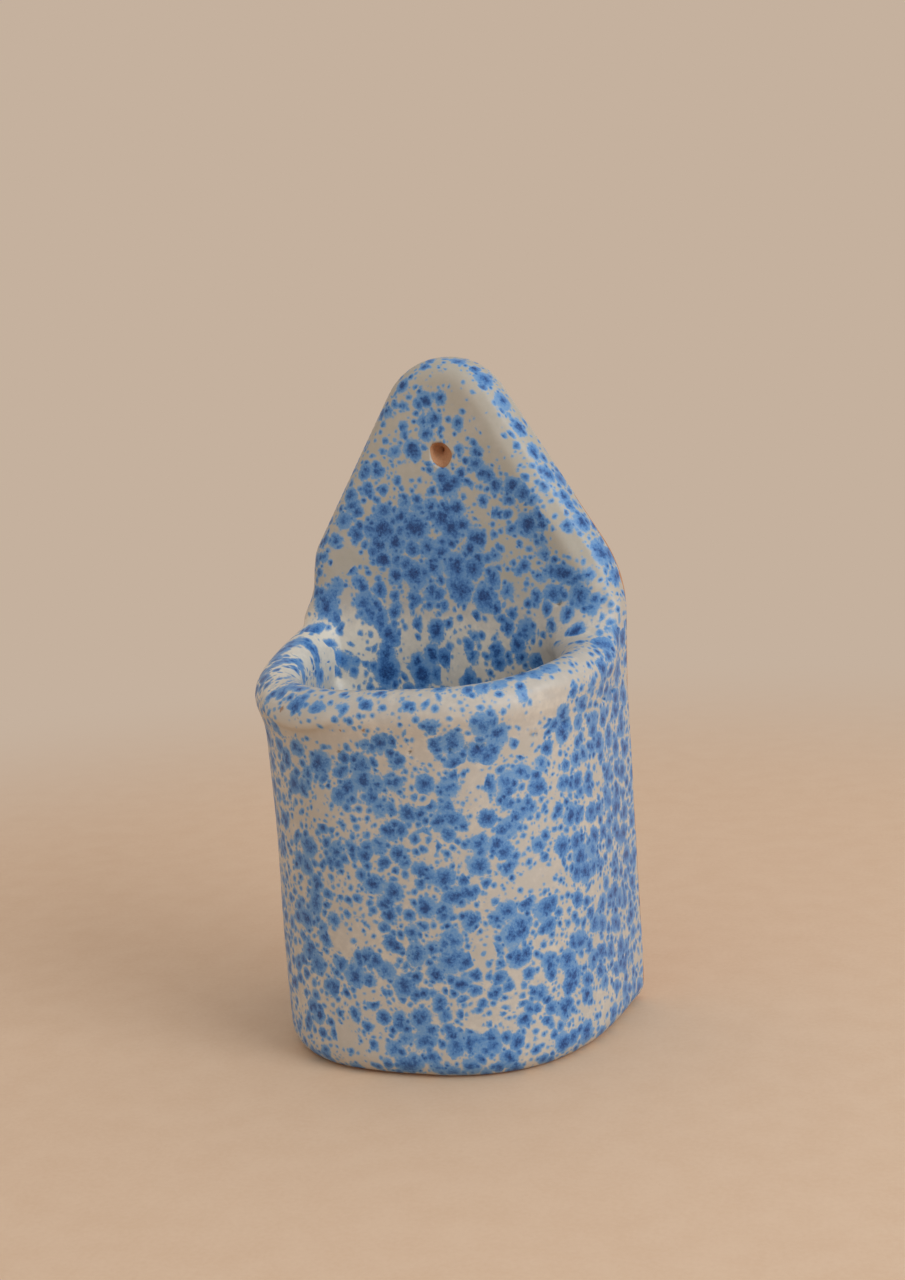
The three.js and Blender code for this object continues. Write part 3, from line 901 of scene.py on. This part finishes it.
# %% [markdown]
# ## Wiring helpers and shared effects
# Two effects are used more than once, so they are node groups. `spray_drops` draws one size of
# drop: each drop sits in its own cell, with a soft rim and a darker heart. `fine_grit` is the
# grain of fired clay, which also shows faintly through the glaze and in the painted floor.

# %% Wire nodes
NOISE_MIDDLE = 0.5


def put(tree, kind, sockets, **settings):
    """Add a node, set it up, and wire or fill the sockets that are named."""
    node = tree.nodes.new("ShaderNode" + kind)
    for name, value in settings.items():
        setattr(node, name, value)
    for name, value in sockets.items():
        if isinstance(value, bpy.types.NodeSocket):
            tree.links.new(value, node.inputs[name])
        else:
            node.inputs[name].default_value = value
    return node


def stored(tree, name, output="Fac"):
    """What was stored under a name for every point."""
    return put(tree, "Attribute", {}, attribute_name=name).outputs[output]


def reckon(tree, operation, first, second, clamp=False):
    """One piece of arithmetic on two values."""
    return put(tree, "Math", {0: first, 1: second}, operation=operation, use_clamp=clamp).outputs[0]


def centred(tree, noise_value):
    """Noise that lies round one half, moved to lie round zero."""
    return reckon(tree, "SUBTRACT", noise_value, NOISE_MIDDLE)


def remap(tree, value, start, stop, low=0.0, high=1.0):
    """A soft change from low to high as the value goes from start to stop."""
    sockets = {"Value": value, "From Min": start, "From Max": stop, "To Min": low, "To Max": high}
    return put(tree, "MapRange", sockets, interpolation_type="SMOOTHSTEP").outputs[0]


def blend(tree, part, first, second):
    """A mix of two colours with this part of the second."""
    return put(tree, "Mix", {0: part, 6: first, 7: second}, data_type="RGBA").outputs[2]


def paint(red, green, blue):
    """A colour as seen on a screen, 0 to 255, as the linear colour that nodes take."""
    shares = [channel / 255 for channel in (red, green, blue)]
    return tuple(s / 12.92 if s <= 0.04045 else ((s + 0.055) / 1.055) ** 2.4 for s in shares) + (1.0,)


def new_group(name, numbers, outputs):
    """A node group that takes a place and the listed numbers, and puts out values."""
    group = bpy.data.node_groups.new(name, "ShaderNodeTree")
    sockets = group.interface
    sockets.new_socket("Place", in_out="INPUT", socket_type="NodeSocketVector")
    for socket_name, value in numbers:
        socket = sockets.new_socket(socket_name, in_out="INPUT", socket_type="NodeSocketFloat")
        socket.default_value = value
    for socket_name in outputs:
        sockets.new_socket(socket_name, in_out="OUTPUT", socket_type="NodeSocketFloat")
    given = group.nodes.new("NodeGroupInput").outputs
    return group, given, group.nodes.new("NodeGroupOutput").inputs


print("wiring helpers ready")


# %% Drops of one size
def make_spray_drops():
    """Drops in cells: chance gives each its size, its place, whether it fell and how wet it was."""
    group, given, out = new_group(
        "spray_drops",
        [("Lumps", 0.0), ("Load", 0.5), ("Cell", 4.0), ("Smallest", 0.8), ("Largest", 2.0),
         ("Heart", 0.4)],
        ["Cobalt"])
    scale = reckon(group, "DIVIDE", 1.0, given["Cell"])
    cells = {"Vector": given["Place"], "Scale": scale, "Randomness": 0.75}
    nearest, second = (put(group, "TexVoronoi", cells, feature=feature, voronoi_dimensions="2D").outputs
                       for feature in ("F1", "F2"))
    chance = put(group, "SeparateColor", {"Color": nearest["Color"]}).outputs
    grown = put(group, "MapRange", {"Value": chance["Red"], "To Min": given["Smallest"],
                                    "To Max": given["Largest"]}).outputs[0]
    spare = reckon(group, "SUBTRACT", given["Load"], chance["Green"])
    present = reckon(group, "MULTIPLY", spare, 6.0, clamp=True)
    radius = reckon(group, "MULTIPLY", grown, present)
    away = reckon(group, "MULTIPLY", nearest["Distance"], given["Cell"])
    uneven = reckon(group, "MULTIPLY", given["Lumps"], radius)
    lumpy = reckon(group, "ADD", radius, reckon(group, "MULTIPLY", uneven, 0.9))
    to_second = reckon(group, "SUBTRACT", second["Distance"], nearest["Distance"])
    border = reckon(group, "MULTIPLY", to_second, given["Cell"])
    from_border = reckon(group, "ADD", reckon(group, "SUBTRACT", border, 0.45), given["Lumps"])
    inside = reckon(group, "MINIMUM", reckon(group, "SUBTRACT", lumpy, away), from_border)
    body = reckon(group, "MULTIPLY", remap(group, inside, -0.5, 0.6), present)
    ragged = reckon(group, "ADD", away, reckon(group, "MULTIPLY", uneven, -1.0))
    depth = reckon(group, "DIVIDE", ragged, reckon(group, "MAXIMUM", radius, 0.1))
    heart = reckon(group, "MULTIPLY", remap(group, depth, 0.8, 0.0), given["Heart"])
    wet = put(group, "MapRange", {"Value": chance["Blue"], "To Min": 0.36, "To Max": 0.54}).outputs[0]
    strength = reckon(group, "MULTIPLY", body, reckon(group, "ADD", wet, heart))
    group.links.new(strength, out["Cobalt"])
    return group


spray_drops = make_spray_drops()
print("group:", spray_drops.name, "with", len(spray_drops.nodes), "nodes")


# %% Grain of fired clay
def make_fine_grit():
    """Fine and coarse speckle, and a height with small pits between the grains."""
    group, given, out = new_group("fine_grit", [("Grain", 0.5)], ["Speckle", "Height"])
    scale = reckon(group, "DIVIDE", 1.0, given["Grain"])
    fine = put(group, "TexNoise", {"Vector": given["Place"], "Scale": scale, "Detail": 4.0,
                                   "Roughness": 0.65}).outputs["Fac"]
    slower = reckon(group, "MULTIPLY", scale, 0.13)
    patches = {"Vector": given["Place"], "Scale": slower, "Detail": 3.0}
    coarse = put(group, "TexNoise", patches).outputs["Fac"]
    spacing = reckon(group, "MULTIPLY", scale, 0.6)
    grains = put(group, "TexVoronoi", {"Vector": given["Place"], "Scale": spacing}, feature="F1").outputs
    pits = remap(group, grains["Distance"], 0.12, 0.3)
    fine_part = reckon(group, "MULTIPLY", fine, 0.55)
    mixed = reckon(group, "ADD", fine_part, reckon(group, "MULTIPLY", coarse, 0.45))
    group.links.new(mixed, out["Speckle"])
    group.links.new(reckon(group, "ADD", mixed, reckon(group, "MULTIPLY", pits, 0.35)), out["Height"])
    return group


fine_grit = make_fine_grit()
print("group:", fine_grit.name, "with", len(fine_grit.nodes), "nodes")


# %% Start a finish
def place_in_mm(tree):
    """The point on the piece in millimetres, in the pot's own frame."""
    there = put(tree, "TexCoord", {}).outputs["Object"]
    return put(tree, "VectorMath", {0: there, "Scale": 1 / MM}, operation="SCALE").outputs[0]


def grit(tree, grain):
    """The grain of fired clay, with grains of a size in mm."""
    return put(tree, "Group", {"Place": place_in_mm(tree), "Grain": grain}, node_tree=fine_grit).outputs


def new_finish(name):
    """A material, its node tree, and the sockets of its shader."""
    material = bpy.data.materials.new(name)
    material.use_nodes = True
    tree = material.node_tree
    return material, tree, tree.nodes["Principled BSDF"].inputs


print("finishes are mixed on places in units of", MM, "m")

# %% [markdown]
# ## The speckled glaze
# The glaze is a satin cream. Over it lie the large drops and five sizes of fine spray, down to
# dust. The strongest blue wins where drops overlap, and one colour ramp turns the strength of cobalt
# into a colour: cream, a pale halo, the mid blue and the navy hearts. A few rust specks come from
# iron in the clay.

# %% Lay the layers of spray
# Each layer of fine spray: cell, smallest and largest radius in mm, heart, share of the load, and
# how much load it takes before the first drop falls
SPRAY_LAYERS = [
    (6.5, 1.5, 2.6, 0.4, 1.0, 0.45),
    (4.4, 0.9, 1.7, 0.4, 1.0, 0.35),
    (2.9, 0.5, 1.1, 0.25, 0.85, 0.05),
    (1.8, 0.3, 0.65, 0.0, 0.55, 0.0),
    (1.1, 0.2, 0.38, 0.0, 0.3, 0.0),
]


def moved(tree, place, number):
    """The map slid and turned, so that no two layers of drops line up."""
    slide, turn = (31.0 * number, 17.0 * number, 0.0), (0.0, 0.0, 0.7 * number)
    return put(tree, "Mapping", {"Vector": place, "Location": slide, "Rotation": turn}).outputs[0]


def fine_spray(tree, name, first, lumps):
    """All the layers on one map; the first layer's number sets how far they are slid."""
    place, load = stored(tree, name + "_map", "Vector"), stored(tree, name + "_load")
    strongest = 0.0
    for number, (cell, smallest, largest, heart, part, held) in enumerate(SPRAY_LAYERS, first):
        load_left = reckon(tree, "SUBTRACT", reckon(tree, "MULTIPLY", load, part), held)
        layer = put(tree, "Group", {
            "Place": moved(tree, place, number), "Lumps": lumps, "Cell": cell, "Load": load_left,
            "Smallest": smallest, "Largest": largest, "Heart": heart}, node_tree=spray_drops)
        strongest = reckon(tree, "MAXIMUM", strongest, layer.outputs["Cobalt"])
    return strongest


print("layers of fine spray:", len(SPRAY_LAYERS))


# %% Draw the spatter
def large_blots(tree, lumps, clumps):
    """The large drops, with ragged edges and dark hearts in patches."""
    gap, deep = stored(tree, "blot_gap"), stored(tree, "blot_deep")
    inside = reckon(tree, "SUBTRACT", reckon(tree, "MULTIPLY", lumps, 1.8), gap)
    body = remap(tree, inside, -0.6, 0.7)
    patchy = reckon(tree, "MULTIPLY", reckon(tree, "ADD", clumps, lumps), 1.2)
    heart = remap(tree, reckon(tree, "ADD", deep, patchy), 0.0, 1.05, 0.38, 0.95)
    return reckon(tree, "MULTIPLY", body, heart)


def soft_noise(tree, scale, detail, roughness=0.5, output="Fac"):
    """Noise over the pot, with the scale in waves to the millimetre."""
    waves = {"Vector": place_in_mm(tree), "Scale": scale, "Detail": detail, "Roughness": roughness}
    return put(tree, "TexNoise", waves).outputs[output]


def spatter(tree):
    """The large drops and the fine spray on both maps, with a fine mottle in the blue."""
    lumps = centred(tree, soft_noise(tree, 0.9, 4.0, 0.65))
    cobalt = large_blots(tree, lumps, centred(tree, soft_noise(tree, 0.35, 1.0)))
    for name, first in (("slab", 1), ("wall", 11)):
        cobalt = reckon(tree, "MAXIMUM", cobalt, fine_spray(tree, name, first, lumps))
    mottle = reckon(tree, "MULTIPLY", centred(tree, soft_noise(tree, 1.7, 3.0, 0.7)), 1.4)
    return reckon(tree, "ADD", cobalt, reckon(tree, "MULTIPLY", mottle, cobalt), clamp=True)


# Rust specks by the rim on the wall map: across, up and radius in mm
RUST_SPECKS = [(98.5, 84.5, 0.75), (92.8, 83, 0.55), (77.3, 80.8, 0.7), (88.5, 75.5, 0.4),
               (83, 80.5, 0.35)]


def rust(tree):
    """The share of rust colour, with the specks pulled out of round by noise."""
    ragged = soft_noise(tree, 1.5, 2.0, output="Color")
    place = {0: stored(tree, "wall_map", "Vector"), 1: ragged}
    shifted = put(tree, "VectorMath", place, operation="ADD").outputs[0]
    seen = 0.0
    for across, upward, radius in RUST_SPECKS:
        speck = (across + NOISE_MIDDLE, upward + NOISE_MIDDLE, NOISE_MIDDLE)
        there = {0: shifted, 1: speck}
        away = put(tree, "VectorMath", there, operation="DISTANCE").outputs["Value"]
        seen = reckon(tree, "MAXIMUM", seen, remap(tree, away, radius, 0.4 * radius, 0.0, 0.75))
    return seen


print("rust specks:", len(RUST_SPECKS))

# %% Mix the glaze
# The palest cream also serves as painted light on the shaded slab behind the rim.
CREAMS = [(0.0, paint(178, 170, 153)), (0.5, paint(192, 182, 168)), (1.0, paint(230, 216, 194))]
# The ridge cream is a painted highlight on the rim's crest and the slab's edges.
RIDGE_HIGHLIGHT_CREAM, RUST = paint(197, 188, 173), paint(142, 92, 48)
BLUES = [(0.0, paint(172, 171, 168)), (0.15, paint(149, 167, 184)), (0.3, paint(119, 156, 191)),
         (0.45, paint(95, 142, 190)), (0.6, paint(71, 123, 179)), (0.8, paint(43, 93, 151)),
         (1.0, paint(20, 64, 120))]


def ramp(tree, value, stops):
    """A colour for a value, from a list of places and colours."""
    node = put(tree, "ValToRGB", {"Fac": value})
    elements = node.color_ramp.elements
    while len(elements) < len(stops):
        elements.new(0.5)
    for element, (position, colour) in zip(elements, stops):
        element.position = position
        element.color = colour
    return node.outputs["Color"]


def speckled_glaze():
    """Cream by the glaze's depth with painted light and shade in it, a painted highlight on the ridges,
    the blue over it, and the rust specks on top.
    """
    material, tree, shader = new_finish("speckled_glaze")
    cobalt = spatter(tree)
    clouds = centred(tree, grit(tree, 2.4)["Speckle"])
    # The stored depth brings painted light and painted shade into the cream.
    clouded_depth_and_light = reckon(tree, "ADD", stored(tree, "thick_and_painted_light"), reckon(tree, "MULTIPLY", clouds, 1.2))
    cream = blend(tree, stored(tree, "ridge"), ramp(tree, clouded_depth_and_light, CREAMS), RIDGE_HIGHLIGHT_CREAM)
    colour = blend(tree, remap(tree, cobalt, 0.0, 0.3), cream, ramp(tree, cobalt, BLUES))
    tree.links.new(blend(tree, rust(tree), colour, RUST), shader["Base Color"])

    tree.links.new(remap(tree, cobalt, 0.0, 0.8, 0.46, 0.4), shader["Roughness"])
    peel = soft_noise(tree, 0.8, 3.0)
    relief = reckon(tree, "ADD", peel, reckon(tree, "MULTIPLY", cobalt, 0.35))
    bump = put(tree, "Bump", {"Height": relief, "Strength": 0.35, "Distance": 0.08 * MM})
    tree.links.new(bump.outputs["Normal"], shader["Normal"])
    return material


glaze = speckled_glaze()
skin.materials.clear()
skin.materials.append(glaze)
print("glaze:", len(glaze.node_tree.nodes), "nodes")

# %% [markdown]
# ## Bare clay
# Under the glaze is a warm earthenware. It shows on the wiped back, under the base and inside
# the hole, where it is matt and gritty. The clay pieces of the frame keep their shapes and get
# this finish.

# %% Mix the bare clay
DARK_CLAY, PALE_CLAY, SLIP = paint(168, 112, 74), paint(196, 142, 100), paint(207, 160, 122)


def bare_clay():
    """Sandy clay with paler smears of slip."""
    material, tree, shader = new_finish("bare_clay")
    grains = grit(tree, 0.45)
    smears = soft_noise(tree, 0.07, 4.0)
    colour = blend(tree, remap(tree, grains["Speckle"], 0.35, 0.65), DARK_CLAY, PALE_CLAY)
    colour = blend(tree, remap(tree, smears, 0.4, 0.75, 0.0, 0.6), colour, SLIP)
    tree.links.new(colour, shader["Base Color"])
    tree.links.new(remap(tree, grains["Speckle"], 0.3, 0.7, 0.78, 0.92), shader["Roughness"])
    bump = put(tree, "Bump", {"Height": grains["Height"], "Strength": 0.5, "Distance": 0.12 * MM})
    tree.links.new(bump.outputs["Normal"], shader["Normal"])
    return material


clay = bare_clay()
burr.data.materials.append(clay)
for node in frame["nodes"].values():
    node.data.materials.clear()
    node.data.materials.append(clay)
print("bare clay on the burr and on", len(frame["nodes"]), "pieces")

# %% [markdown]
# ## Floor and light
# The pot stands on a plain pale floor that fades into a plain warm wall. A soft key lamp comes
# from the upper right, and an even glow from the whole room keeps the shade open.

# %% Lay the floor
WALL_COLOUR = paint(197, 177, 158)
FLOOR_COLOUR, FLOOR_GRAIN = paint(229, 194, 160), paint(224, 187, 152)
FLOOR_RADIUS, FADE_START, FADE_END = 3.0, 0.2, 0.5


def floor_paint():
    """Matt paint that fades into the wall's colour away from the pot, for the camera only."""
    material, tree, shader = new_finish("floor_paint")
    grains = grit(tree, 1.2)["Speckle"]
    colour = blend(tree, remap(tree, grains, 0.3, 0.7), FLOOR_GRAIN, FLOOR_COLOUR)
    tree.links.new(colour, shader["Base Color"])
    shader["Roughness"].default_value = 0.9
    there = put(tree, "TexCoord", {}).outputs["Object"]
    away = put(tree, "VectorMath", {0: there}, operation="LENGTH").outputs["Value"]
    seen = put(tree, "LightPath", {}).outputs["Is Camera Ray"]
    fade = reckon(tree, "MULTIPLY", remap(tree, away, FADE_START, FADE_END), seen)
    wall = put(tree, "Emission", {"Color": WALL_COLOUR, "Strength": 1.0}).outputs[0]
    mixed = put(tree, "MixShader", {0: fade, 1: tree.nodes["Principled BSDF"].outputs[0], 2: wall})
    tree.links.new(mixed.outputs[0], tree.nodes["Material Output"].inputs["Surface"])
    return material


floor_shape = bmesh.new()
bmesh.ops.create_circle(floor_shape, cap_ends=True, segments=96, radius=FLOOR_RADIUS)
floor_mesh = bpy.data.meshes.new("floor")
floor_shape.to_mesh(floor_mesh)
floor_shape.free()
floor = bpy.data.objects.new("floor", floor_mesh)
scene.collection.objects.link(floor)
floor_mesh.materials.append(floor_paint())
print("floor laid at z =", floor.location.z)

# %% Light the pot
KEY_PLACE, POT_MIDDLE = Vector((0.90, -0.33, 0.56)), Vector((0, 0, 0.08))
KEY_SIZE, KEY_WATTS, KEY_COLOUR = 0.7, 6.3, paint(226, 240, 255)
GLOW_COLOUR, GLOW_STRENGTH = paint(246, 246, 248), 0.66


def hang_key_lamp():
    """One round soft lamp, turned to the pot."""
    data = bpy.data.lights.new("key", "AREA")
    data.shape = "DISK"
    data.size = KEY_SIZE
    data.energy = KEY_WATTS
    data.color = KEY_COLOUR[:3]
    lamp = bpy.data.objects.new("key", data)
    scene.collection.objects.link(lamp)
    lamp.location = KEY_PLACE
    lamp.rotation_mode = "QUATERNION"
    lamp.rotation_quaternion = (POT_MIDDLE - KEY_PLACE).to_track_quat("-Z", "Y")


def light_room():
    """An even glow on the pot; the camera and reflections see the wall's colour."""
    world = bpy.data.worlds.new("room")
    world.use_nodes = True
    tree = world.node_tree
    path = put(tree, "LightPath", {}).outputs
    seen = reckon(tree, "MAXIMUM", path["Is Camera Ray"], path["Is Glossy Ray"])
    glow = tree.nodes["Background"]
    glow.inputs["Color"].default_value = GLOW_COLOUR
    glow.inputs["Strength"].default_value = GLOW_STRENGTH
    wall = put(tree, "Background", {"Color": WALL_COLOUR, "Strength": 1.0})
    mixed = put(tree, "MixShader", {0: seen, 1: glow.outputs[0], 2: wall.outputs[0]})
    tree.links.new(mixed.outputs[0], tree.nodes["World Output"].inputs["Surface"])
    scene.world = world


light_room()
hang_key_lamp()
scene.view_settings.view_transform = "Standard"
